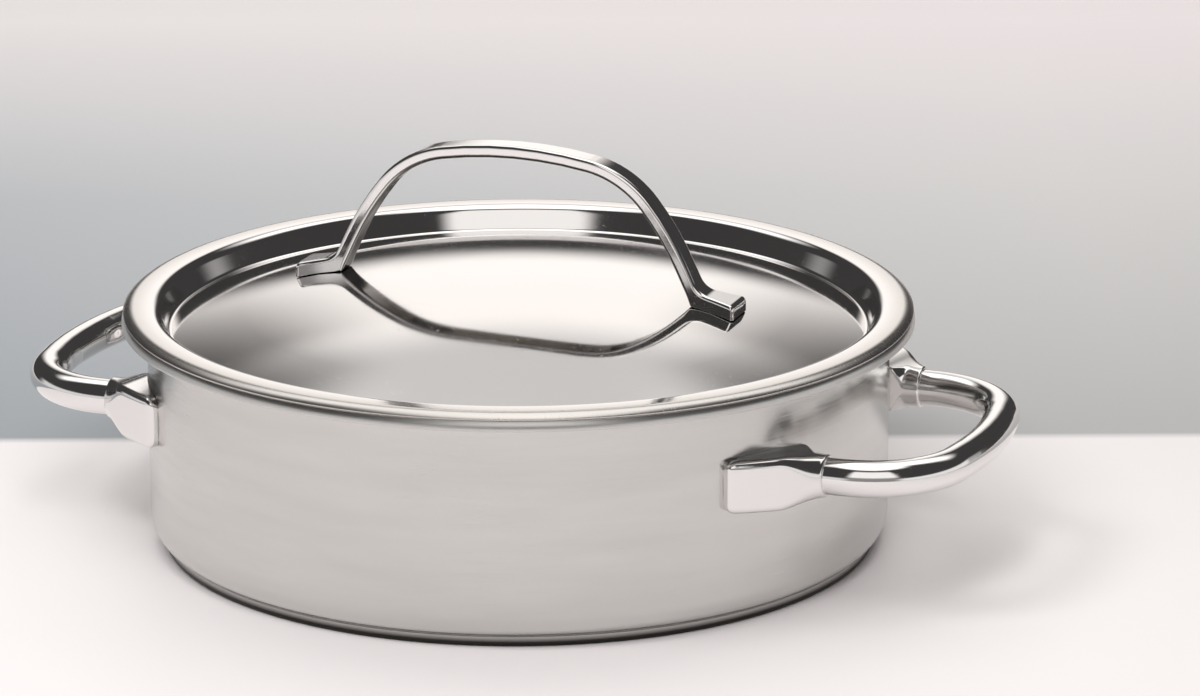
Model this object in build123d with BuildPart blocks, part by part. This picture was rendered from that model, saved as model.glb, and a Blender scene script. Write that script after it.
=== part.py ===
from build123d import *
import os
from math import asin, cos, degrees, radians, sin, sqrt, tan

# Wide, low braising pot of stainless steel with two side handles and a recessed lid.
# Lengths are in millimetres. The origin is the middle of the base, on the surface that
# the pot stands on. +X runs through the right side handle and +Z is up.

os.makedirs("parts", exist_ok=True)

# Pot body: one drawn sheet with a flared pouring rim and a lip that turns down.
body_radius = 140.5
body_sheet = 1.2
body_corner = 9.0
rim_height = 91.0
rim_flare = 9.5
rim_bend = 5.0
lip_radius = 2.4
lip_hem = 0.4
lip_depth = lip_radius + lip_hem
rim_radius = body_radius + rim_flare

# Sandwich base: a heat-spreading core, closed by a steel cap.
base_inset = 5.0
core_sheet = 2.4
cap_sheet = 0.8
cap_corner = 1.6
base_radius = body_radius - base_inset
base_height = cap_sheet + core_sheet
core_radius = base_radius - cap_sheet

# Lid: one pressed sheet that hangs in the rim by its flange.
lid_sheet = 1.0
lid_clearance = 0.8
lid_bend = 4.5
channel_radius = 3.5
channel_depth = 11.4
dome_rise = 10.9
flange_setback = 0.6
flange_height = rim_height + lid_sheet
flange_radius = rim_radius - flange_setback
recess_radius = body_radius - body_sheet - lid_clearance - lid_sheet
dome_height = flange_height + dome_rise
dome_depth = dome_rise + channel_depth
dome_radius = (recess_radius**2 + dome_depth**2) / dome_depth / 2
dome_middle = dome_height - dome_radius
dome_turn = degrees(asin(recess_radius / dome_radius))

# Lid handle: a cast bow of flat strap whose ends spread into feet on the dome.
bow_rise = 49.6
bow_width = 10.6
bow_sheet = 5.0
bow_edge = 1.5
crown_radius = 166.0
crown_turn = 10.3
shoulder_radius = 41.5
shoulder_turn = 40.5
shin_radius = 110.0
shin_turn = 14.0
lid_foot_length = 19.6
lid_foot_height = 5.5
lid_foot_width = 17.0
lid_foot_bend = 8.0
lid_foot_overrun = 5.0
bow_height = dome_height + bow_rise
root_turn = radians(crown_turn + shoulder_turn + shin_turn)

# Side handles: a bent tube whose ends sit in the sockets of two cast feet.
handle_height = 55.0
tube_radius = 6.8
tube_wall = 1.5
loop_standoff = 44.1
grip_radius = 161.0
leg_offset = 59.2
leg_straight = 5.0
socket_standoff = 2.0
socket_depth = 9.0
socket_clearance = 0.05
socket_wall = 0.9
collar_edge = 0.6
taper_length = 12.0
foot_length = 30.9
foot_end = 3.5
foot_height = 20.0
foot_bow = 1.0
foot_corner = 5.0
foot_edge = 3.0
loop_reach = body_radius + loop_standoff
socket_reach = body_radius + socket_standoff
collar_radius = tube_radius + socket_clearance + socket_wall
foot_turn = asin(leg_offset / body_radius) + foot_length / body_radius

# The grip's arc meets each corner's arc in line, and each corner ends at its leg's straight.
loop_depth = loop_reach - socket_reach - leg_straight
corner_radius = (2 * grip_radius * loop_depth - loop_depth**2 - leg_offset**2) / (grip_radius - leg_offset) / 2
grip_turn = degrees(asin((leg_offset - corner_radius) / (grip_radius - corner_radius)))


def wall_place(turn, out=0):
    """A point this far out from the pot's wall, at this turn in radians from the handle's axis."""
    reach = body_radius + out
    return (reach * cos(turn), reach * sin(turn))


def dome_top(radius):
    """Height of the dome's upper face at this radius."""
    return dome_middle + sqrt(dome_radius**2 - radius**2)


def root_face(height):
    """Distance from the middle to the bow's outer face at this height, below its shin."""
    return (shin @ 1).X + ((shin @ 1).Y - height) / tan(root_turn)


with BuildPart() as pot_body:
    with BuildSketch(Plane.XZ):
        with BuildLine():
            FilletPolyline(
                (0, base_height),
                (body_radius, base_height),
                (body_radius, rim_height - body_sheet),
                (rim_radius - body_sheet, rim_height - body_sheet),
                (rim_radius - body_sheet, rim_height - lip_depth),
                radius=[body_corner, rim_bend - body_sheet, lip_radius - body_sheet],
            )
            offset(amount=body_sheet, side=Side.LEFT, closed=True)
        make_face()
    revolve(axis=Axis.Z)
pot_body.part.label = "pot_body"
export_step(pot_body.part, "parts/pot_body.step")

# The base lies against the pot's rounded bottom corner, up to its own edge.
corner_middle = (body_radius - body_corner, base_height + body_corner)
core_turn = degrees(asin((core_radius - corner_middle[0]) / body_corner))
cap_turn = degrees(asin((base_radius - corner_middle[0]) / body_corner))

with BuildPart() as base_core:
    with BuildSketch(Plane.XZ):
        with BuildLine():
            seat = CenterArc(corner_middle, body_corner, -90, core_turn)
            Polyline(seat @ 0, (0, base_height), (0, cap_sheet), (core_radius, cap_sheet), seat @ 1)
        make_face()
    revolve(axis=Axis.Z)
base_core.part.label = "base_core"
export_step(base_core.part, "parts/base_core.step")

with BuildPart() as base_cap:
    with BuildSketch(Plane.XZ):
        with BuildLine():
            hem = CenterArc(corner_middle, body_corner, core_turn - 90, cap_turn - core_turn)
            round_edge = CenterArc((base_radius - cap_corner, cap_corner), cap_corner, -90, 90)
            Polyline(hem @ 0, (core_radius, cap_sheet), (0, cap_sheet), (0, 0), round_edge @ 0)
            Line(round_edge @ 1, hem @ 1)
        make_face()
    revolve(axis=Axis.Z)
base_cap.part.label = "base_cap"
export_step(base_cap.part, "parts/base_cap.step")

with BuildPart() as lid:
    with BuildSketch(Plane.XZ):
        with BuildLine():
            dome = CenterArc((0, dome_middle), dome_radius, 90, -dome_turn)
            Polyline(dome @ 1, (recess_radius, flange_height), (flange_radius, flange_height))
            fillet(vertices().sort_by(Axis.Y)[0], channel_radius)
            fillet(vertices().sort_by(Axis.X)[-2], lid_bend)
            offset(amount=lid_sheet, side=Side.RIGHT, closed=True)
        make_face()
    revolve(axis=Axis.Z)
lid.part.label = "lid"
export_step(lid.part, "parts/lid.step")

# Half of the bow's outer face: three arcs, each of which bends on from the last.
crown = JernArc((0, bow_height), (1, 0), crown_radius, -crown_turn)
shoulder = JernArc(crown @ 1, crown % 1, shoulder_radius, -shoulder_turn)
shin = JernArc(shoulder @ 1, shoulder % 1, shin_radius, -shin_turn)
lid_foot_reach = (shin @ 1).X + lid_foot_length
low = dome_top(lid_foot_reach) - lid_foot_overrun
step = dome_top((shin @ 1).X) + lid_foot_height

with BuildPart() as lid_handle:
    with BuildSketch(Plane.XZ):
        with BuildLine():
            add([crown, shoulder, shin])
            Line(shin @ 1, (root_face(low), low))
            offset(amount=bow_sheet, side=Side.RIGHT, closed=True)
        make_face()
        with BuildLine():
            Polyline(
                (root_face(step) - bow_sheet / 2, step),
                (lid_foot_reach, dome_top(lid_foot_reach) + lid_foot_height),
                (lid_foot_reach, low),
                (root_face(low) - bow_sheet / 2, low),
                close=True,
            )
        make_face()
        fillet(vertices().sort_by_distance((root_face(step), step))[0], lid_foot_bend)
        mirror(about=Plane.YZ)
    extrude(amount=lid_foot_width, both=True)
    with Locations((0, 0, dome_middle)):
        Sphere(dome_radius, mode=Mode.SUBTRACT)
    with BuildSketch(Plane.XY.offset(bow_height)):
        with BuildLine():
            side = Line((0, bow_width / 2), ((shin @ 1).X, bow_width / 2))
            spread = TangentArc(side @ 1, (lid_foot_reach, lid_foot_width / 2), tangent=(1, 0))
            Polyline(spread @ 1, (lid_foot_reach, 0), (0, 0), side @ 0)
        make_face()
        mirror(about=Plane.XZ)
        mirror(about=Plane.YZ)
    extrude(amount=-bow_height, mode=Mode.INTERSECT)
    seat_edges = faces().filter_by(GeomType.SPHERE).edges()
    cross_edges = edges().filter_by(Axis.Y).filter_by_position(
        Axis.X, bow_edge - lid_foot_reach, lid_foot_reach - bow_edge
    )
    fillet(edges() - seat_edges - cross_edges, bow_edge)
lid_handle.part.label = "lid_handle"
export_step(lid_handle.part, "parts/lid_handle.step")

# The handles are made once and mirrored.
with BuildPart() as right_handle_loop:
    with BuildLine(Plane.XY.offset(handle_height)) as loop_path:
        grip = CenterArc((loop_reach - grip_radius, 0), grip_radius, 0, grip_turn)
        bend = JernArc(grip @ 1, grip % 1, corner_radius, 90 - grip_turn)
        leg = Line(bend @ 1, (socket_reach - socket_depth + socket_clearance, leg_offset))
        mirror(about=Plane.XZ)
    with BuildSketch(Plane(origin=leg @ 1, z_dir=(1, 0, 0))):
        Circle(tube_radius)
        Circle(tube_radius - tube_wall, mode=Mode.SUBTRACT)
    sweep(path=loop_path.wires()[0])
right_handle_loop.part.label = "right_handle_loop"
export_step(right_handle_loop.part, "parts/right_handle_loop.step")

with BuildPart() as left_handle_loop:
    mirror(right_handle_loop.part, about=Plane.YZ)
left_handle_loop.part.label = "left_handle_loop"
export_step(left_handle_loop.part, "parts/left_handle_loop.step")

# The right rear foot lies along the wall from its tail to its collar.
foot_tail = wall_place(foot_turn)
foot_tail_out = wall_place(foot_turn, foot_end)
collar_out = (socket_reach, leg_offset + collar_radius)
collar_in = (socket_reach, leg_offset - collar_radius)
collar_root = (sqrt(body_radius**2 - collar_in[1] ** 2), collar_in[1])
foot_run = Vector(socket_reach - foot_tail[0], leg_offset - foot_tail[1])
foot_side = Plane(
    origin=(foot_tail[0], foot_tail[1], handle_height),
    x_dir=foot_run,
    z_dir=foot_run.cross(Vector(0, 0, 1)),
)

with BuildPart() as right_rear_foot:
    with BuildSketch(Plane.XY.offset(handle_height)):
        with BuildLine():
            outside = SagittaArc(foot_tail_out, collar_out, foot_bow)
            Polyline(collar_out, collar_in, collar_root, (0, 0), foot_tail_out)
        make_face()
    extrude(amount=foot_height, both=True)
    with BuildSketch(foot_side):
        with BuildLine():
            Polyline(
                (0, 0),
                (0, foot_height / 2),
                (foot_run.length - taper_length, foot_height / 2),
                (foot_run.length, collar_radius),
                (foot_run.length + collar_radius, collar_radius),
                (foot_run.length + collar_radius, 0),
                close=True,
            )
        make_face()
        fillet(vertices().sort_by_distance((0, foot_height / 2))[0], foot_corner)
        mirror(about=Plane.XZ)
    extrude(amount=body_radius, both=True, mode=Mode.INTERSECT)
    with Locations((0, 0, handle_height)):
        Cylinder(body_radius, 2 * foot_height, mode=Mode.SUBTRACT)
    with BuildSketch(Plane(origin=(socket_reach, leg_offset, handle_height), z_dir=(1, 0, 0))):
        Circle(tube_radius + socket_clearance)
    extrude(amount=-socket_depth, mode=Mode.SUBTRACT)
    outer_face = faces().sort_by_distance((outside @ 0.5) + Vector(0, 0, handle_height))[0]
    inner_face = faces().filter_by(Axis.Y).sort_by(Axis.Y)[0]
    mouth = faces().sort_by(Axis.X)[-1].outer_wire()
    inner_edges = inner_face.edges().filter_by(Axis.Z, reverse=True)
    fillet(outer_face.edges() + inner_edges - mouth.edges(), foot_edge)
    fillet(faces().sort_by(Axis.X)[-1].outer_wire().edges(), collar_edge)
right_rear_foot.part.label = "right_rear_foot"
export_step(right_rear_foot.part, "parts/right_rear_foot.step")

with BuildPart() as right_front_foot:
    mirror(right_rear_foot.part, about=Plane.XZ)
right_front_foot.part.label = "right_front_foot"
export_step(right_front_foot.part, "parts/right_front_foot.step")

with BuildPart() as left_rear_foot:
    mirror(right_rear_foot.part, about=Plane.YZ)
left_rear_foot.part.label = "left_rear_foot"
export_step(left_rear_foot.part, "parts/left_rear_foot.step")

with BuildPart() as left_front_foot:
    mirror(right_front_foot.part, about=Plane.YZ)
left_front_foot.part.label = "left_front_foot"
export_step(left_front_foot.part, "parts/left_front_foot.step")
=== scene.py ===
import bmesh
import bpy
import numpy as np
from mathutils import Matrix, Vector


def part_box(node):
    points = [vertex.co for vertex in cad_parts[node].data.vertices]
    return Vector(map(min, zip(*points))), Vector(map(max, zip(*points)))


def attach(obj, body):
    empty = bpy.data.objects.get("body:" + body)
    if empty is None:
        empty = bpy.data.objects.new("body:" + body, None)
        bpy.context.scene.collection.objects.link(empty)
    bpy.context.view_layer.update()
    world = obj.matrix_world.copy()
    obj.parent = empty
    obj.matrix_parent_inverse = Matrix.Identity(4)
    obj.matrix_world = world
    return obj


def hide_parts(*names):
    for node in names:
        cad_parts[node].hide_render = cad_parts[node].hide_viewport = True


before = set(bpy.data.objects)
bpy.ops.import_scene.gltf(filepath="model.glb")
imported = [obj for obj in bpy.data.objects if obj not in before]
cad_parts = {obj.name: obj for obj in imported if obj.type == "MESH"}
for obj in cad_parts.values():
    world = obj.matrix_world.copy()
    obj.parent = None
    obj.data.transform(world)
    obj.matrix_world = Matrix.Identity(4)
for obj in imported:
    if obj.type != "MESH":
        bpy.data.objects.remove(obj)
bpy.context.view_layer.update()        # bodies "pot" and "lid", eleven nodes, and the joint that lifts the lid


# Pot body: one sheet of stainless steel, drawn over a punch. Its wall and floor are brushed
# round on a lathe, and the flared pouring rim and the lip that rolls down from it are polished.
pot_sheet = 0.0012
pot_wall = 0.1405
pot_corner = 0.009
rim_bend = 0.005
lip_bend = 0.005
lip_hem = 0.0004
cut_edge = 0.0003


def arc(middle, radius, start, end, step=4):
    """Points on a circle, from a start to an end angle and about this step apart, all in degrees:
    middle + radius * (cos a, sin a)."""
    steps = 2 + int(abs(end - start) / step)
    turn = np.radians(np.linspace(start, end, steps))
    return np.stack([middle[0] + radius * np.cos(turn), middle[1] + radius * np.sin(turn)], axis=1)


def outline(*bends, close=0.0004, longest_share=0.3):
    """Joins bends and single points by straight runs: start + share * (end - start). A run has a
    point close to either end, which keeps it flat up to its bend when the surface is smooth."""
    bends = [np.atleast_2d(np.array(bend, float)) for bend in bends]
    parts = [bends[0]]
    for before, after in zip(bends, bends[1:]):
        start, end = before[-1], after[0]
        near = min(close / np.linalg.norm(end - start), longest_share)
        share = np.array([near, 0.5, 1 - near])[:, None]
        parts += [start + share * (end - start), after]
    return np.concatenate(parts)


def surface(name, grid, ring=False):
    """A closed mesh from a grid of points, rows by columns. Columns go right round, and so do the
    rows of a ring. Rows that lie in one point make a pole. Faces are turned outwards by the sign
    of the volume, which is the sum of a . (b x c) / 6 over the triangles."""
    rows, columns = grid.shape[:2]
    places = np.arange(rows * columns).reshape(rows, columns)
    if ring:
        places = np.concatenate([places, places[:1]])
    right = np.roll(places, -1, axis=1)
    faces = np.stack([places[:-1], right[:-1], right[1:], places[1:]], axis=-1).reshape(-1, 4)
    points = grid.reshape(-1, 3)
    a, b, c, d = (points[faces[:, k]] for k in range(4))
    volume = np.sum(a * np.cross(b, c)) + np.sum(a * np.cross(c, d))
    if volume < 0:
        faces = faces[:, ::-1]
    mesh = bpy.data.meshes.new(name)
    mesh.from_pydata(points.tolist(), [], faces.tolist())
    joined = bmesh.new()
    joined.from_mesh(mesh)
    bmesh.ops.remove_doubles(joined, verts=joined.verts, dist=1e-7)
    joined.to_mesh(mesh)
    joined.free()
    mesh.polygons.foreach_set("use_smooth", np.ones(len(mesh.polygons), bool))
    piece = bpy.data.objects.new(name, mesh)
    bpy.context.scene.collection.objects.link(piece)
    return piece


def turned(name, profile, steps=288):
    """A solid of revolution: each profile point (r, z) goes round to (r cos a, r sin a, z)."""
    turn = np.linspace(0, 2 * np.pi, steps, endpoint=False)
    r, z = profile[:, :1], profile[:, 1:]
    height = np.broadcast_to(z, (len(z), steps))
    return surface(name, np.stack([r * np.cos(turn), r * np.sin(turn), height], axis=-1))


pot_low, pot_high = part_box("pot_body")
pot_floor = pot_low.z
rim_top = pot_high.z
lip_middle = pot_high.x - lip_bend
bend_middle = pot_wall - pot_sheet + rim_bend
hem_low = rim_top - lip_bend - lip_hem
pot_body = turned("braiser_pot_body", outline(
    (0, pot_floor),
    arc((pot_wall - pot_corner, pot_floor + pot_corner), pot_corner, -90, 0),
    arc((bend_middle, rim_top - rim_bend), rim_bend - pot_sheet, 180, 90),
    arc((lip_middle, rim_top - lip_bend), lip_bend - pot_sheet, 90, 0),
    arc((pot_high.x - pot_sheet + cut_edge, hem_low + cut_edge), cut_edge, 180, 270),
    arc((pot_high.x - cut_edge, hem_low + cut_edge), cut_edge, 270, 360),
    arc((lip_middle, rim_top - lip_bend), lip_bend, 0, 90),
    arc((bend_middle, rim_top - rim_bend), rim_bend, 90, 180),
    arc((pot_wall - pot_corner, pot_floor + pot_corner), pot_corner - pot_sheet, 0, -90),
    (0, pot_floor + pot_sheet),
))


def nodes_of(tree):
    """A maker of nodes: make(kind, {input: value or socket}, property=value) gives the node."""
    def make(kind, inputs=None, **settings):
        node = tree.nodes.new(kind)
        for name, value in settings.items():
            setattr(node, name, value)
        for name, value in (inputs or {}).items():
            if isinstance(value, bpy.types.NodeSocket):
                tree.links.new(value, node.inputs[name])
            else:
                node.inputs[name].default_value = value
        return node
    return make


def maths(make, operation, *values):
    """What a Math node makes of these values or sockets."""
    return make("ShaderNodeMath", dict(enumerate(values)), operation=operation).outputs[0]


def effect(name, inputs, outputs):
    """A shader node group: its tree, and the group's own input and output nodes."""
    group = bpy.data.node_groups.new(name, "ShaderNodeTree")
    for label, kind, value in inputs:
        socket = group.interface.new_socket(label, in_out="INPUT", socket_type=kind)
        if value is not None:
            socket.default_value = value
    for label, kind in outputs:
        group.interface.new_socket(label, in_out="OUTPUT", socket_type=kind)
    given = group.nodes.new("NodeGroupInput")
    result = group.nodes.new("NodeGroupOutput")
    return group, given, result


# Lathe grain: fine lines round the Z axis. The noise reads the direction round the axis, which is
# (x, y) over its own length, and the distance along the profile, which is height plus radius.
lathe_grain, given, result = effect(
    "lathe grain",
    [("Place", "NodeSocketVector", None), ("Lines", "NodeSocketFloat", 1500.0),
     ("Length", "NodeSocketFloat", 6.0)],
    [("Lines", "NodeSocketFloat"), ("Bands", "NodeSocketFloat")],
)
make = nodes_of(lathe_grain)
place = make("ShaderNodeSeparateXYZ", {0: given.outputs["Place"]})
flat_place = make("ShaderNodeCombineXYZ", {0: place.outputs[0], 1: place.outputs[1]})
radius = make("ShaderNodeVectorMath", {0: flat_place.outputs[0]}, operation="LENGTH")
facing = make("ShaderNodeVectorMath", {0: flat_place.outputs[0]}, operation="NORMALIZE")
round_place = make("ShaderNodeVectorMath",
                   {0: facing.outputs[0], "Scale": given.outputs["Length"]}, operation="SCALE")
along = maths(make, "ADD", radius.outputs["Value"], place.outputs[2])
lift = make("ShaderNodeCombineXYZ", {2: maths(make, "MULTIPLY", along, given.outputs["Lines"])})
grain_place = make("ShaderNodeVectorMath", {0: round_place.outputs[0], 1: lift.outputs[0]})
lines = make("ShaderNodeTexNoise", {"Vector": grain_place.outputs[0], "Scale": 1.0,
                                    "Detail": 5.0, "Roughness": 0.65})
wide = make("ShaderNodeVectorMath", {0: grain_place.outputs[0], 1: (0.35, 0.35, 0.05)},
            operation="MULTIPLY")
bands = make("ShaderNodeTexNoise", {"Vector": wide.outputs[0], "Scale": 1.0, "Detail": 3.0})
lathe_grain.links.new(lines.outputs[0], result.inputs["Lines"])
lathe_grain.links.new(bands.outputs[0], result.inputs["Bands"])

# Handling: hairline scratches that use leaves on steel, and soft patches where hands and cloths
# have dulled it. A scratch is a peak of a noise that is drawn out along one axis.
handling, given, result = effect(
    "handling",
    [("Place", "NodeSocketVector", None)],
    [("Scratches", "NodeSocketFloat"), ("Patches", "NodeSocketFloat")],
)
make = nodes_of(handling)
scratches = 0.0
for turn, stretch in ((0.5, 900.0), (2.1, 1300.0), (1.2, 700.0)):
    turned_place = make("ShaderNodeVectorRotate",
                        {"Vector": given.outputs["Place"], "Axis": (0.3, 0.4, 1.0), "Angle": turn})
    drawn = make("ShaderNodeVectorMath", {0: turned_place.outputs[0], 1: (28.0, stretch, stretch)},
                 operation="MULTIPLY")
    field = make("ShaderNodeTexNoise", {"Vector": drawn.outputs[0], "Scale": 1.0, "Detail": 1.0})
    peaks = make("ShaderNodeMapRange", {"Value": field.outputs[0], "From Min": 0.70,
                                        "From Max": 0.78}).outputs[0]
    scratches = maths(make, "MAXIMUM", scratches, peaks)
patches = make("ShaderNodeTexNoise", {"Vector": given.outputs["Place"], "Scale": 17.0,
                                      "Detail": 4.0, "Roughness": 0.55, "Distortion": 0.4})
handling.links.new(scratches, result.inputs["Scratches"])
handling.links.new(patches.outputs[0], result.inputs["Patches"])


def metal(name, **values):
    """A material with a metallic Principled shader, with these values for its inputs. Gives the
    material, its node maker, the shader and the object's own coordinates."""
    material = bpy.data.materials.new(name)
    material.use_nodes = True
    shader = material.node_tree.nodes["Principled BSDF"]
    shader.inputs["Metallic"].default_value = 1.0
    for label, value in values.items():
        shader.inputs[label.replace("_", " ")].default_value = value
    make = nodes_of(material.node_tree)
    return material, make, shader, make("ShaderNodeTexCoord").outputs["Object"]


def scaled(make, value, low, high, start=0.0, end=1.0):
    """A value carried from the range start to end over to the range low to high."""
    return make("ShaderNodeMapRange", {"Value": value, "From Min": start, "From Max": end,
                                       "To Min": low, "To Max": high}).outputs[0]


def blended(make, share, first, second):
    """A colour between two: the first where the share is 0, the second where it is 1."""
    return make("ShaderNodeMix", {0: share, 6: first, 7: second}, data_type="RGBA").outputs[2]


def feed(shader, label, socket):
    """Links a socket to the shader's input of this name."""
    shader.id_data.links.new(socket, shader.inputs[label])


def bumped(make, shader, height, depth, strength):
    """Feeds the height to the shader's normal, as relief of this depth in metres."""
    relief = make("ShaderNodeBump", {"Height": height, "Distance": depth, "Strength": strength})
    feed(shader, "Normal", relief.outputs[0])


# The wall is dull from its bottom corner up to the flare, where the polishing wheel began. Nearly
# all values of a noise lie within noise_range, so finishes are spread over it.
noise_range = (0.3, 0.7)
steel_ior = 2.4
dull_top = rim_top - 0.0075
polished_low = rim_top - 0.0045
satin_steel, make, shader, place = metal("satin steel", IOR=steel_ior)
grain = make("ShaderNodeGroup", {"Place": place, "Lines": 2200.0}, node_tree=lathe_grain)
wear = make("ShaderNodeGroup", {"Place": place}, node_tree=handling)
height = make("ShaderNodeSeparateXYZ", {0: place}).outputs[2]
bright = make("ShaderNodeMapRange", {"Value": height, "From Min": dull_top,
                                     "From Max": polished_low},
              interpolation_type="SMOOTHSTEP").outputs[0]
dull = maths(make, "ADD", scaled(make, grain.outputs["Lines"], 0.16, 0.27, *noise_range),
             scaled(make, wear.outputs["Patches"], -0.03, 0.03, *noise_range))
polished = scaled(make, wear.outputs["Patches"], 0.28, 0.35, *noise_range)
finish = make("ShaderNodeMix", {0: bright, 2: dull, 3: polished})
feed(shader, "Roughness", finish.outputs[0])
banded = scaled(make, grain.outputs["Bands"], 0, 1, *noise_range)
feed(shader, "Base Color",
     blended(make, banded, (0.59, 0.58, 0.565, 1), (0.63, 0.62, 0.605, 1)))
relief = maths(make, "MULTIPLY", grain.outputs["Lines"], scaled(make, bright, 1.0, 0.0))
bumped(make, shader, relief, depth=0.00002, strength=0.35)
pot_body.data.materials.append(satin_steel)
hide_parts("pot_body")
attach(pot_body, "pot")


# Heat-spreading core: a disc of rolled aluminium, pressed between the pot and its cap. The cap
# hides it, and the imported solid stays, with the straight roller marks of its sheet.
rolled_aluminium, make, shader, place = metal("rolled aluminium", Base_Color=(0.80, 0.80, 0.81, 1))
drawn = make("ShaderNodeMapping", {"Vector": place, "Scale": (14.0, 900.0, 900.0)})
roller_marks = make("ShaderNodeTexNoise", {"Vector": drawn.outputs[0], "Scale": 1.0, "Detail": 4.0})
feed(shader, "Roughness", scaled(make, roller_marks.outputs[0], 0.3, 0.5, *noise_range))
bumped(make, shader, roller_marks.outputs[0], depth=0.00002, strength=0.3)
base_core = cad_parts["base_core"]
base_core.data.materials.clear()
base_core.data.materials.append(rolled_aluminium)


# Base cap: a shallow stainless dish that closes the core. It is turned on a lathe after the
# base is pressed together, which leaves even rings, and a fine seam shows where it meets the pot.
# The low part of its side is painted dark, as painted shade of the contact shadow it mirrors.
cap_sheet = 0.0008
cap_corner = 0.0016
shade_dark_height = 0.0018
shade_clear_height = 0.0042
cap_low, cap_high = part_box("base_cap")
cap_edge = cap_high.x
cap_inside = cap_edge - cap_sheet
seam_middle = (pot_wall - pot_corner, pot_floor + pot_corner)
seam_turn = np.degrees(np.arcsin((cap_edge - cut_edge - seam_middle[0]) / pot_corner))
core_turn = np.degrees(np.arcsin((cap_inside - seam_middle[0]) / pot_corner))
seam_height = seam_middle[1] - pot_corner * np.cos(np.radians(seam_turn))
base_cap = turned("braiser_base_cap", outline(
    (0, cap_low.z),
    arc((cap_edge - cap_corner, cap_low.z + cap_corner), cap_corner, -90, 0),
    arc((cap_edge - cut_edge, seam_height - cut_edge), cut_edge, 0, 90),
    arc(seam_middle, pot_corner, seam_turn - 90, core_turn - 90),
    (cap_inside, cap_low.z + cap_sheet),
    (0, cap_low.z + cap_sheet),
))


def axis_distance(make, place):
    """The distance from the Z axis, the length of (x, y)."""
    flat = make("ShaderNodeVectorMath", {0: place, 1: (1, 1, 0)}, operation="MULTIPLY")
    return make("ShaderNodeVectorMath", {0: flat.outputs[0]}, operation="LENGTH").outputs["Value"]


turned_steel, make, shader, place = metal("turned base steel", IOR=steel_ior)
grain = make("ShaderNodeGroup", {"Place": place, "Lines": 1100.0, "Length": 2.0},
             node_tree=lathe_grain)
wear = make("ShaderNodeGroup", {"Place": place}, node_tree=handling)
rough = maths(make, "ADD", scaled(make, grain.outputs["Lines"], 0.28, 0.46, *noise_range),
              scaled(make, wear.outputs["Scratches"], 0.0, 0.15))
feed(shader, "Roughness", rough)
side = scaled(make, axis_distance(make, place), 0.0, 1.0,
              cap_edge - cap_corner, cap_edge - cap_corner * 0.6)
height = make("ShaderNodeSeparateXYZ", {0: place}).outputs[2]
# Painted shade: the side's colour goes near-black towards the floor, for the contact shadow.
low = scaled(make, height, 1.0, 0.0, shade_dark_height, shade_clear_height)
shade = blended(make, grain.outputs["Bands"], (0.50, 0.485, 0.47, 1), (0.68, 0.665, 0.65, 1))
feed(shader, "Base Color",
     blended(make, maths(make, "MULTIPLY", side, low), shade, (0.035, 0.032, 0.028, 1)))
bumped(make, shader, grain.outputs["Lines"], depth=0.00004, strength=0.5)
base_cap.data.materials.append(turned_steel)
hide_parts("base_cap")
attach(base_cap, "pot")


# Handle feet: four investment castings, welded to the wall. Each is a bar that tapers from its
# tail to a round collar with the socket for one end of the tube, and all its edges are soft.
tube_height = 0.055
tube_radius = 0.0068
tube_offset = 0.0592
socket_reach = 0.1425
socket_depth = 0.009
socket_radius = 0.00685
collar = 0.00775
taper_length = 0.013
tail_turn = 0.65486477
tail_end = 0.0035
tail_half = 0.010
tail_corner = 0.005
tail_edge = 0.0028
foot_bow = 0.001
foot_edge = 0.003
collar_edge = 0.0006
weld_edge = 0.0004
root_blend = 0.006

# Shares: how much of a full round the tail gets, how much of a side its corners may take, and how
# many edge radii before a rounded end the plain rows stop.
tail_fullness = 0.8
corner_limit = 0.97
end_margin = 1.2
line_points = 60
foot_sections = 56
quarter_turn = np.radians(np.arange(0, 91, 15))


def rounded_bars(width, half, near, far):
    """Outlines of rounded bars, one a row, that run from 0 to the width and from -half to half.
    The near corners have one radius and the far ones another, and each is an arc: corner middle +
    radius * (cos a, sin a). The straight sides have points at side_shares of their length."""
    side_shares = np.array([0.03, 0.3, 0.7, 0.97])[:, None]
    values = np.broadcast_arrays(width, half, near, far)
    width, half, near, far = (np.asarray(value, float)[:, None] for value in values)
    corners = []
    for middle_x, middle_y, radius, start in (
        (near, near - half, near, 180), (width - far, far - half, far, 270),
        (width - far, half - far, far, 0), (near, half - near, near, 90),
    ):
        x = middle_x + radius * np.cos(quarter_turn + np.radians(start))
        y = middle_y + radius * np.sin(quarter_turn + np.radians(start))
        corners.append(np.stack([x, y], axis=-1))
    loop = []
    for corner, following in zip(corners, corners[1:] + corners[:1]):
        loop += [corner, corner[:, -1:] + side_shares * (following[:, :1] - corner[:, -1:])]
    return np.concatenate(loop, axis=1)


def rounded_corner(before, corner, after, radius, steps=12):
    """An arc that touches both legs of a corner, at radius / tan(opening / 2) from it."""
    back = (before - corner) / np.linalg.norm(before - corner)
    on = (after - corner) / np.linalg.norm(after - corner)
    half_opening = np.arccos(back @ on) / 2
    halfway = (back + on) / np.linalg.norm(back + on)
    middle = corner + halfway * radius / np.sin(half_opening)
    start, end = (corner + leg * radius / np.tan(half_opening) - middle for leg in (back, on))
    sweep = np.arctan2(start[0] * end[1] - start[1] * end[0], start @ end)
    turn = np.arctan2(start[1], start[0]) + np.linspace(0, sweep, steps)
    return middle + radius * np.stack([np.cos(turn), np.sin(turn)], axis=1)


def spread(line, share):
    """Points on a line at these shares of its length."""
    travel = np.concatenate([[0], np.cumsum(np.linalg.norm(np.diff(line, axis=0), axis=1))])
    return np.stack([np.interp(share * travel[-1], travel, line[:, k]) for k in (0, 1)], axis=1)


def smooth(value):
    """Eases from 0 to 1: 3 v^2 - 2 v^3."""
    value = np.clip(value, 0, 1)
    return value * value * (3 - 2 * value)


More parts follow.
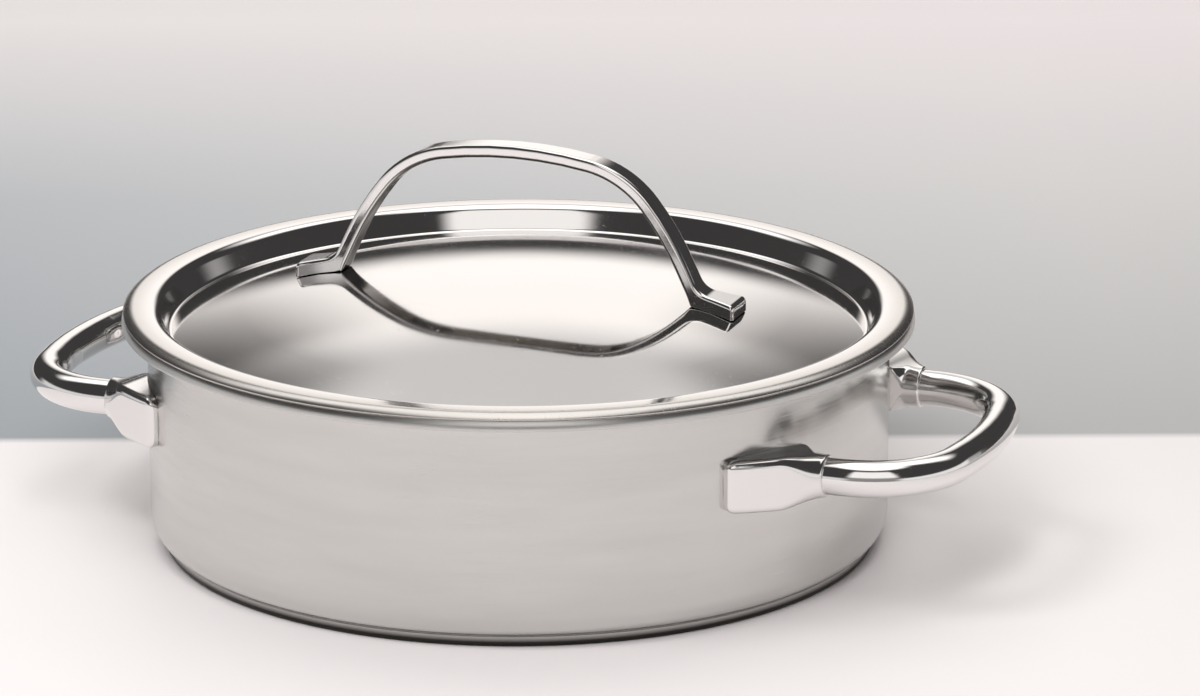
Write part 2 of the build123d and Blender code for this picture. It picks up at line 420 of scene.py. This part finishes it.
def foot_points():
    """Rows of a foot's outlines, seen from above its tail. The inner line follows the wall and then
    the collar, the outer line bows out from the tail to the collar, and each row joins a point of
    one to a point of the other. Its corners grow until it is round at the collar."""
    tail = pot_wall * np.array([np.cos(tail_turn), np.sin(tail_turn)])
    tail_out = tail * (1 + tail_end / pot_wall)
    collar_out = np.array([socket_reach, tube_offset + collar])
    chord = collar_out - tail_out
    half_chord = np.linalg.norm(chord) / 2
    bow_radius = (half_chord**2 + foot_bow**2) / foot_bow / 2
    outward = np.array([-chord[1], chord[0]]) / half_chord / 2
    bow_middle = (tail_out + collar_out) / 2 - outward * (bow_radius - foot_bow)
    start, end = (np.arctan2(y, x) for x, y in (tail_out - bow_middle, collar_out - bow_middle))
    bow_turn = np.linspace(start, end, line_points)
    bow = bow_middle + bow_radius * np.stack([np.cos(bow_turn), np.sin(bow_turn)], axis=1)
    beyond_tail = bow[8]
    tail_round = rounded_corner(tail, tail_out, beyond_tail, tail_edge)
    bow = bow[np.linalg.norm(bow - tail_out, axis=1) > np.linalg.norm(tail_round[-1] - tail_out)]
    root_turn = np.arcsin((tube_offset - collar) / pot_wall)
    wall_turn = np.linspace(tail_turn, root_turn, line_points)
    wall_line = pot_wall * np.stack([np.cos(wall_turn), np.sin(wall_turn)], axis=1)
    outer_line = np.concatenate([tail_round, bow])
    inner_line = np.concatenate([wall_line, [[socket_reach, tube_offset - collar]]])

    share = (1 - np.cos(np.linspace(0, np.pi, foot_sections))) / 2
    outer, inner = spread(outer_line, share), spread(inner_line, share)
    kept = outer[:, 0] < socket_reach - collar_edge * end_margin
    end_x = socket_reach - collar_edge * (1 - np.sin(quarter_turn))
    draw = collar_edge * (1 - np.cos(quarter_turn))
    end_outer = np.stack([end_x, np.interp(end_x, outer[:, 0], outer[:, 1]) - draw], axis=1)
    end_inner = np.stack([end_x, tube_offset - collar + draw], axis=1)
    inset = np.concatenate([np.zeros(kept.sum()), draw])
    outer = np.concatenate([outer[kept], end_outer])
    inner = np.concatenate([inner[kept], end_inner])

    across = outer - inner
    width = np.linalg.norm(across, axis=1)
    at_collar = smooth(1 - (socket_reach - outer[:, 0]) / taper_length)
    travel = np.linalg.norm(outer - outer[0], axis=1)
    corner_share = np.clip(1 - travel / tail_corner, 0, 1)
    half = tail_half + at_collar * (collar - tail_half) - inset
    half -= tail_corner * (1 - np.sqrt(1 - corner_share**2)) * tail_fullness
    off_wall = smooth((inner[:, 0] - pot_wall * np.cos(root_turn)) / root_blend)
    largest = corner_limit * np.minimum(half, width / 2)
    near = np.minimum(weld_edge + off_wall * collar, largest)
    far = np.minimum(foot_edge + at_collar * (collar - foot_edge), largest)
    loops = rounded_bars(width, half, near, far)
    plan = inner[:, None] + across[:, None] * (loops[:, :, :1] / width[:, None, None])
    rows = np.concatenate([plan, loops[:, :, 1:]], axis=2)

    # The end face runs in to the socket, the socket runs back, and both ends close in a pole.
    spoke = np.arctan2(rows[-1][:, 2], rows[-1][:, 1] - tube_offset)
    mouth = np.stack([np.full(len(spoke), socket_reach),
                      tube_offset + socket_radius * np.cos(spoke),
                      socket_radius * np.sin(spoke)], axis=1)
    bottom = mouth - [socket_depth, 0, 0]
    bottom_middle = np.broadcast_to([socket_reach - socket_depth, tube_offset, 0], mouth.shape)
    tail_middle = np.broadcast_to(rows[0].mean(axis=0), mouth.shape)
    return np.concatenate([tail_middle[None], rows, mouth[None], bottom[None], bottom_middle[None]])


def worn_polish(make, shader, place, low, high, scratch=0.12):
    """Feeds the shader the roughness of a used polish: low to high over the patches, and more by
    the last value in a scratch. Gives the patches."""
    wear = make("ShaderNodeGroup", {"Place": place}, node_tree=handling)
    rough = maths(make, "ADD", scaled(make, wear.outputs["Patches"], low, high, *noise_range),
                  scaled(make, wear.outputs["Scratches"], 0.0, scratch))
    feed(shader, "Roughness", rough)
    return wear.outputs["Patches"]


polished_casting, make, shader, place = metal(
    "polished casting", Base_Color=(0.80, 0.785, 0.775, 1), IOR=steel_ior)
worn_polish(make, shader, place, 0.07, 0.17)
skin = make("ShaderNodeTexNoise", {"Vector": place, "Scale": 260.0, "Detail": 3.0})
bumped(make, shader, skin.outputs[0], depth=0.00008, strength=0.25)

foot_rows = foot_points() + [0, 0, tube_height]
for node, side_x, side_y in (("right_rear_foot", 1, 1), ("right_front_foot", 1, -1),
                             ("left_rear_foot", -1, 1), ("left_front_foot", -1, -1)):
    foot = surface("braiser_" + node, foot_rows * [side_x, side_y, 1])
    foot.data.materials.append(polished_casting)
    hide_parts(node)
    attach(foot, "pot")


# Side handles: stainless tube, bent to a bow with two tight corners and polished after bending.
# Each end sits in a foot's socket, where it is welded.
tube_bore = 0.0053
grip_radius = 0.161
corner_radius = 0.03470113
straight_end = 0.005
corner_start = socket_reach + straight_end
loop_low, loop_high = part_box("right_handle_loop")
loop_reach = loop_high.x - tube_radius
grip_turn = np.degrees(np.arcsin((tube_offset - corner_radius) / (grip_radius - corner_radius)))


def tube(name, path, outside, inside, steps=64):
    """A hollow tube round a level path. A point is path + r * (cos a * side + sin a * up), where
    side is up x the path's direction. Rows go along the outside and come back along the bore."""
    ahead = np.gradient(path, axis=0)
    ahead /= np.linalg.norm(ahead, axis=1, keepdims=True)
    ahead[0], ahead[-1] = ahead[1], ahead[-2]
    side = np.stack([-ahead[:, 1], ahead[:, 0], np.zeros(len(path))], axis=1)
    turn = np.linspace(0, 2 * np.pi, steps, endpoint=False)[None, :, None]
    round_side, round_up = np.cos(turn) * side[:, None], np.sin(turn) * np.array([0, 0, 1.0])
    rows = [path[:, None] + radius * (round_side + round_up) for radius in (outside, inside)]
    return surface(name, np.concatenate([rows[0], rows[1][::-1]]), ring=True)


half_loop = outline(
    (loop_low.x, tube_offset),
    arc((corner_start, tube_offset - corner_radius), corner_radius, 90, grip_turn),
    arc((loop_reach - grip_radius, 0), grip_radius, grip_turn, 0)[1:],
)
other_half = half_loop[-2::-1] * [1, -1]
loop_plan = np.concatenate([half_loop, other_half])
loop_path = np.concatenate([loop_plan, np.full((len(loop_plan), 1), tube_height)], axis=1)

polished_tube, make, shader, place = metal(
    "polished tube", Base_Color=(0.82, 0.805, 0.795, 1), IOR=steel_ior)
patches = worn_polish(make, shader, place, 0.04, 0.12)
bumped(make, shader, patches, depth=0.0003, strength=0.1)
for node, side_x in (("right_handle_loop", 1), ("left_handle_loop", -1)):
    loop = tube("braiser_" + node, loop_path * [side_x, 1, 1], tube_radius, tube_bore)
    loop.data.materials.append(polished_tube)
    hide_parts(node)
    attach(loop, "pot")


# Lid: one pressed sheet. Its flange lies on the rim and curls over it, its leaning wall drops
# inside the pot to a channel, and its dome is spun and polished, which leaves faint rings in a
# soft mirror. The flange's colour is darker as painted shade, and its edge is rubbed dull.
lid_sheet = 0.001
channel_bend = 0.0016
lid_bend = 0.0045
recess = 0.1350
dome_radius = 0.43505695
recess_draft = 25.0
_, lid_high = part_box("lid")
flange_top = rim_top + lid_sheet
dome_middle = lid_high.z - dome_radius
bend_x, bend_z = recess + lid_bend, flange_top - lid_bend

# The channel touches both the dome and the leaning wall. Its height follows from its radius from
# the axis and the other way round, so they are worked out in turn until they settle.
settling_rounds = 8
channel_x = recess - channel_bend
for _ in range(settling_rounds):
    channel_z = dome_middle + np.sqrt((dome_radius + channel_bend)**2 - channel_x**2)
    lean = np.sin(np.radians(recess_draft)) * (bend_z - channel_z)
    channel_x = bend_x - (lid_bend + channel_bend + lean) / np.cos(np.radians(recess_draft))
dome_turn = np.degrees(np.arcsin(channel_x / (dome_radius + channel_bend)))
lid_edge = lid_sheet * 0.4
curl_middle = np.array([lip_middle, rim_top - lip_bend])
edge_radius = lip_bend + lid_sheet - lid_edge
curl_end = np.degrees(np.arccos((lid_high.x - lid_edge - lip_middle) / edge_radius))
across_curl = np.array([np.cos(np.radians(curl_end)), np.sin(np.radians(curl_end))])
lid_piece = turned("braiser_lid", outline(
    arc((0, dome_middle), dome_radius - lid_sheet, 90, 90 - dome_turn),
    arc((channel_x, channel_z), channel_bend + lid_sheet, -90 - dome_turn, -recess_draft),
    arc((bend_x, bend_z), lid_bend - lid_sheet, 180 - recess_draft, 90),
    arc(curl_middle, lip_bend, 90, curl_end),
    arc(curl_middle + (lip_bend + lid_edge) * across_curl, lid_edge,
        curl_end + 180, curl_end + 270),
    arc(curl_middle + edge_radius * across_curl, lid_edge, curl_end - 90, curl_end),
    arc(curl_middle, lip_bend + lid_sheet, curl_end, 90),
    arc((bend_x, bend_z), lid_bend, 90, 180 - recess_draft),
    arc((channel_x, channel_z), channel_bend, -recess_draft, -90 - dome_turn),
    arc((0, dome_middle), dome_radius, 90 - dome_turn, 90),
), steps=360)

spun_steel, make, shader, place = metal("spun steel", IOR=steel_ior)
grain = make("ShaderNodeGroup", {"Place": place, "Lines": 900.0, "Length": 3.0},
             node_tree=lathe_grain)
wear = make("ShaderNodeGroup", {"Place": place}, node_tree=handling)
radius = axis_distance(make, place)
worn = maths(make, "ADD", scaled(make, wear.outputs["Patches"], -0.02, 0.03, *noise_range),
             scaled(make, wear.outputs["Scratches"], 0.0, 0.1))
rough = maths(make, "ADD", scaled(make, grain.outputs["Bands"], 0.05, 0.09, *noise_range), worn)
rubbed = scaled(make, radius, 0.0, 0.2, lip_middle - cut_edge, lip_middle + lip_bend / 2)
feed(shader, "Roughness", maths(make, "ADD", rough, rubbed))
# Painted shade: the flange's colour darkens from the bend out to the lip, for its dimmer reflection.
flange_painted_shade = scaled(make, radius, 0.0, 1.0, bend_x - cut_edge, lip_middle)
feed(shader, "Base Color",
     blended(make, flange_painted_shade, (0.80, 0.78, 0.77, 1), (0.60, 0.575, 0.55, 1)))
bumped(make, shader, grain.outputs["Lines"], depth=0.00001, strength=0.2)
lid_piece.data.materials.append(spun_steel)
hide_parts("lid")
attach(lid_piece, "lid")


# Lid handle: one cast bow of flat strap, spot-welded to the dome. It springs from two spread feet,
# bends at its shoulders and is almost flat along the crown. Its edges are rounded, and its
# underside is painted dark: painted shade on the faces that turn downwards.
crown_radius, crown_turn = 0.166, 10.3
shoulder_radius, shoulder_turn = 0.0415, 40.5
shin_radius, shin_turn = 0.110, 14.0
bow_half_width = 0.0053
bow_sheet = 0.005
bow_edge = 0.0015
strap_foot = 0.0055
foot_bend = 0.008
tip_half_width = 0.0085
seat_blend = 0.004
seat_edge = 0.0003
under_tip = 0.2
fall_length = 0.03
_, strap_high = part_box("lid_handle")
tip = strap_high.x


def dome_line(x):
    """The point of the dome's top above x: height = middle + sqrt(radius^2 - x^2)."""
    return np.stack([x, dome_middle + np.sqrt(dome_radius**2 - np.square(x))], axis=-1)


def strap_arcs(inwards):
    """The crown, the shoulder and the shin as arcs that bend on from each other, this far inwards
    of the outer face: middle + (radius - inwards) * (cos a, sin a). Gives the points and the
    heading at their end."""
    joint, heading, points = np.array([0, strap_high.z]), 0.0, []
    for radius, turn in ((crown_radius, crown_turn), (shoulder_radius, shoulder_turn),
                         (shin_radius, shin_turn)):
        side = np.array([np.sin(np.radians(heading)), -np.cos(np.radians(heading))])
        middle = joint + radius * side
        bend = arc(middle, radius, heading + 90, heading + 90 - turn)
        points.append(middle + (bend - middle) * (1 - inwards / radius))
        joint, heading = bend[-1], heading - turn
    return outline(points[0], points[1][1:], points[2][1:]), np.radians(heading)


outer_arcs, heading = strap_arcs(0)
inner_arcs, _ = strap_arcs(bow_sheet)
down = np.array([np.cos(heading), np.sin(heading)])
shin_end = outer_arcs[-1]

# The outer line runs down the strap, bends out above the dome and ends at the tip. The inner line
# runs down to the dome and then out along it.
step = dome_line(shin_end[0])[1] + strap_foot
root = shin_end + down * (step - shin_end[1]) / down[1]
top_start = root - [bow_sheet / 2, 0]
top_end = dome_line(tip) + [0, strap_foot]
top = top_end - top_start
leg, _ = np.linalg.solve(np.stack([down, -top], axis=1), top_start - shin_end)
foot_round = rounded_corner(shin_end, shin_end + leg * down, top_end, foot_bend, steps=18)
fall = inner_arcs[-1] + np.linspace(0, fall_length, 400)[:, None] * down
heel = fall[np.argmax(fall[:, 1] < dome_line(fall[:, 0])[:, 1])]
share = np.linspace(0, 1, line_points)[1:]
straight = shin_end + np.linspace(0, 1, 8)[1:, None] * (foot_round[0] - shin_end)
along_foot = np.concatenate([foot_round, [top_end]])
under_foot = np.concatenate([
    [inner_arcs[-1] + foot_round[0] - shin_end], dome_line(np.linspace(heel[0], tip, 30))])
outer_line = np.concatenate([outer_arcs, straight, spread(along_foot, share)])
inner_line = np.concatenate([inner_arcs, straight + inner_arcs[-1] - shin_end,
                             spread(under_foot, share)])

# The tip is rounded: its last rows draw in by 1 - cos while they move out by sin.
draw = bow_edge * (1 - np.cos(quarter_turn))
kept = outer_line[:, 0] < tip - bow_edge * end_margin
tip_line = dome_line(tip - bow_edge * (1 - np.sin(quarter_turn)))
tip_top = tip_line + np.stack([0 * draw, strap_foot - draw], axis=1)
tip_seat = tip_line + np.stack([0 * draw, draw * under_tip], axis=1)
outer_line = np.concatenate([outer_line[kept], tip_top])
inner_line = np.concatenate([inner_line[kept], tip_seat])
inset = np.concatenate([np.zeros(kept.sum()), draw])


def half_width(x):
    """Half the strap's width: straight to the shin's end, then on a circle out to the tip."""
    beyond, wider = tip - shin_end[0], tip_half_width - bow_half_width
    radius = (beyond**2 + wider**2) / wider / 2
    return bow_half_width + radius - np.sqrt(radius**2 - np.maximum(x - shin_end[0], 0)**2)


across = inner_line - outer_line
depth = np.linalg.norm(across, axis=1)
seated = np.clip((outer_line[:, 0] - root[0]) / seat_blend, 0, 1)
half = half_width(outer_line[:, 0]) - inset
loops = rounded_bars(depth, half, bow_edge, bow_edge * (1 - seated) + seat_edge * seated)
face = outer_line[:, None] + across[:, None] * (loops[:, :, :1] / depth[:, None, None])
sideways = loops[:, :, 1] * (half_width(face[:, :, 0]) - inset[:, None]) / half[:, None]
half_rows = np.stack([face[:, :, 0], sideways, face[:, :, 1]], axis=2)
rows = np.concatenate([half_rows[:0:-1] * [-1, 1, 1], half_rows])
ends = [np.broadcast_to(rows[k].mean(axis=0), rows[k].shape)[None] for k in (0, -1)]
lid_handle = surface("braiser_lid_handle", np.concatenate([ends[0], rows, ends[1]]))

polished_strap, make, shader, place = metal("polished strap", IOR=steel_ior)
worn_polish(make, shader, place, 0.05, 0.13)
facing = make("ShaderNodeTexCoord").outputs["Normal"]
upwards = make("ShaderNodeSeparateXYZ", {0: facing}).outputs[2]
# Painted shade: faces that turn down are coloured near-black.
painted_underside_shade = scaled(make, upwards, 1.0, 0.0, -0.55, -0.3)
feed(shader, "Base Color",
     blended(make, painted_underside_shade, (0.82, 0.805, 0.795, 1), (0.09, 0.08, 0.07, 1)))
skin = make("ShaderNodeTexNoise", {"Vector": place, "Scale": 150.0, "Detail": 2.0})
bumped(make, shader, skin.outputs[0], depth=0.00008, strength=0.2)
lid_handle.data.materials.append(polished_strap)
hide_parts("lid_handle")
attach(lid_handle, "lid")


# Floor: a white table top that runs back into a grey sweep, as the photograph's does. The sweep's
# grey is painted shade, where the light falls off behind the table: cool and dark on the left,
# paler on the right and palest far off. The floor shows from above only, so that the pot can be
# looked at from below.
view_turn = np.radians(21.0)
reach = 9.0
floor_mesh = bpy.data.meshes.new("floor")
floor_mesh.from_pydata([(-reach, -reach, 0), (reach, -reach, 0), (reach, reach, 0),
                        (-reach, reach, 0)], [], [(0, 1, 2, 3)])
floor = bpy.data.objects.new("floor", floor_mesh)
bpy.context.scene.collection.objects.link(floor)
white_table = bpy.data.materials.new("white table")
white_table.use_nodes = True
tree = white_table.node_tree
shader = tree.nodes["Principled BSDF"]
shader.inputs["Roughness"].default_value = 0.55
shader.inputs["Specular IOR Level"].default_value = 0.2
make = nodes_of(tree)
place = make("ShaderNodeTexCoord").outputs["Object"]
faced = make("ShaderNodeVectorRotate", {"Vector": place, "Angle": -view_turn},
             rotation_type="Z_AXIS")
seen_place = make("ShaderNodeSeparateXYZ", {0: faced.outputs[0]})
table_end, sweep_start, sweep_middle, sweep_end = 0.115, 0.120, 0.488, 0.854
half_sweep = 0.26
table_tone = (0.90, 0.86, 0.86, 1)
# The sweep's tones are painted shade for the light's fall-off behind the pot.
painted_sweep_shades = []
for near_tone, middle_tone, far_tone in (
    ((0.33, 0.36, 0.385, 1), (0.51, 0.53, 0.555, 1), (0.92, 0.88, 0.87, 1)),
    ((0.48, 0.475, 0.47, 1), (0.72, 0.71, 0.70, 1), (0.99, 0.92, 0.93, 1)),
):
    tones = make("ShaderNodeValToRGB", {0: seen_place.outputs[1]})
    stops = tones.color_ramp.elements
    stops[0].position, stops[0].color = table_end, table_tone
    stops[1].position, stops[1].color = sweep_end, far_tone
    stops.new(sweep_start).color = near_tone
    stops.new(sweep_middle).color = middle_tone
    painted_sweep_shades.append(tones.outputs[0])
rightwards = scaled(make, seen_place.outputs[0], 0.0, 1.0, -half_sweep, half_sweep)
feed(shader, "Base Color", blended(make, rightwards, *painted_sweep_shades))
below = make("ShaderNodeNewGeometry").outputs["Backfacing"]
clear = make("ShaderNodeBsdfTransparent")
choice = make("ShaderNodeMixShader", {0: below, 1: shader.outputs[0], 2: clear.outputs[0]})
tree.links.new(choice.outputs[0], tree.nodes["Material Output"].inputs["Surface"])
floor.data.materials.append(white_table)


# Light: a soft studio. The polished steel mirrors its sky, and two lamps light the table. Past the
# end of the floor the camera sees a plain pale grey in place of the sky.
world = bpy.data.worlds.new("studio")
bpy.context.scene.world = world
world.use_nodes = True
tree = world.node_tree
make = nodes_of(tree)
heading_out = make("ShaderNodeTexCoord").outputs["Generated"]
faced = make("ShaderNodeVectorRotate", {"Vector": heading_out, "Angle": -view_turn},
             rotation_type="Z_AXIS")
part = make("ShaderNodeSeparateXYZ", {0: faced.outputs[0]})
azimuth = maths(make, "ARCTAN2", part.outputs[0], part.outputs[1])
elevation = maths(make, "ARCSINE", part.outputs[2])


def glow(sideways, upwards, half_wide, half_high, edge_wide, edge_high):
    """How far a direction lies inside a soft-edged box in the sky, from 0 to 1. The angles are in
    degrees, and sideways is 0 behind the pot, 90 to its right and 180 at the camera."""
    inside = []
    for angle, middle, half, edge in ((azimuth, sideways, half_wide, edge_wide),
                                      (elevation, upwards, half_high, edge_high)):
        off = maths(make, "SUBTRACT", angle, np.radians(middle))
        off = maths(make, "ABSOLUTE", maths(make, "WRAP", off, -np.pi, np.pi))
        inside.append(make("ShaderNodeMapRange", {
            "Value": off, "From Min": np.radians(half), "From Max": np.radians(half + edge),
            "To Min": 1.0, "To Max": 0.0}, interpolation_type="SMOOTHSTEP").outputs[0])
    return maths(make, "MULTIPLY", *inside)


# The sky's parts, each over the last: a dark room with pale walls low at its sides and a grey one
# behind the camera, lights above the camera, overhead and high behind the pot, a grey gap below
# that one, and the bright screen behind the pot. A box is what glow() takes.
sky = (0.05, 0.048, 0.048, 1)
for colour, box_in_sky in (
    ((0.92, 0.91, 0.90, 1), (112, -4, 42, 14, 18, 6)),
    ((0.78, 0.77, 0.77, 1), (-112, -4, 42, 14, 18, 6)),
    ((0.30, 0.29, 0.29, 1), (180, 2, 20, 14, 14, 8)),
    ((1.10, 1.08, 1.06, 1), (180, 40, 22, 14, 8, 10)),
    ((1.70, 1.66, 1.62, 1), (0, 90, 180, 14, 1, 10)),
    ((1.6, 1.57, 1.55, 1), (0, 60, 45, 12, 25, 12)),
    ((0.72, 0.71, 0.70, 1), (0, 40, 8, 8, 10, 6)),
    ((1.22, 1.17, 1.13, 1), (0.4, 20.5, 5, 8.5, 12.3, 9)),
):
    sky = blended(make, glow(*box_in_sky), sky, colour)
seen = make("ShaderNodeLightPath").outputs["Is Camera Ray"]
background = tree.nodes["Background"]
feed(background, "Color", blended(make, seen, sky, (0.80, 0.79, 0.80, 1)))
background.inputs["Strength"].default_value = 1.0

# The lamps show on the table and not in the steel: one from the left, which lays the pot's soft
# shadow to the right, and one from above the camera. Each tips by the first turn, in degrees, and
# then turns round Z by the second.
for name, size, power, place, (tip_turn, round_turn) in (
    ("soft key", 0.9, 15.5, (-0.9, -1.1, 1.9), (36, -39)),
    ("soft fill", 1.6, 25.0, (0.573, -1.494, 2.0), (38.5, 21)),
):
    lamp = bpy.data.lights.new(name, "AREA")
    lamp.shape, lamp.size, lamp.energy = "DISK", size, power
    lamp_object = bpy.data.objects.new(name, lamp)
    lamp_object.location = place
    lamp_object.rotation_euler = (np.radians(tip_turn), 0, np.radians(round_turn))
    lamp_object.visible_glossy = False
    bpy.context.scene.collection.objects.link(lamp_object)
bpy.context.scene.view_settings.view_transform = "Standard"


# Camera: where the photograph was taken from, 2.1 m off in plan and tilted down by 16 degrees. It
# is swung a little to the right, which sets the pot left of the picture's middle.
camera_reach = 2.0851
camera_height = 0.6882
camera_tilt = np.radians(16.454)
camera_swing = np.radians(0.846)
camera_data = bpy.data.cameras.new("camera")
camera_data.sensor_width = 36.0
camera_data.lens = 171.9
camera_data.clip_end = 60.0
camera = bpy.data.objects.new("camera", camera_data)
camera.location = (camera_reach * np.sin(view_turn), -camera_reach * np.cos(view_turn),
                   camera_height)
camera.rotation_euler = (np.pi / 2 - camera_tilt, 0, view_turn - camera_swing)
bpy.context.scene.collection.objects.link(camera)
bpy.context.scene.camera = camera
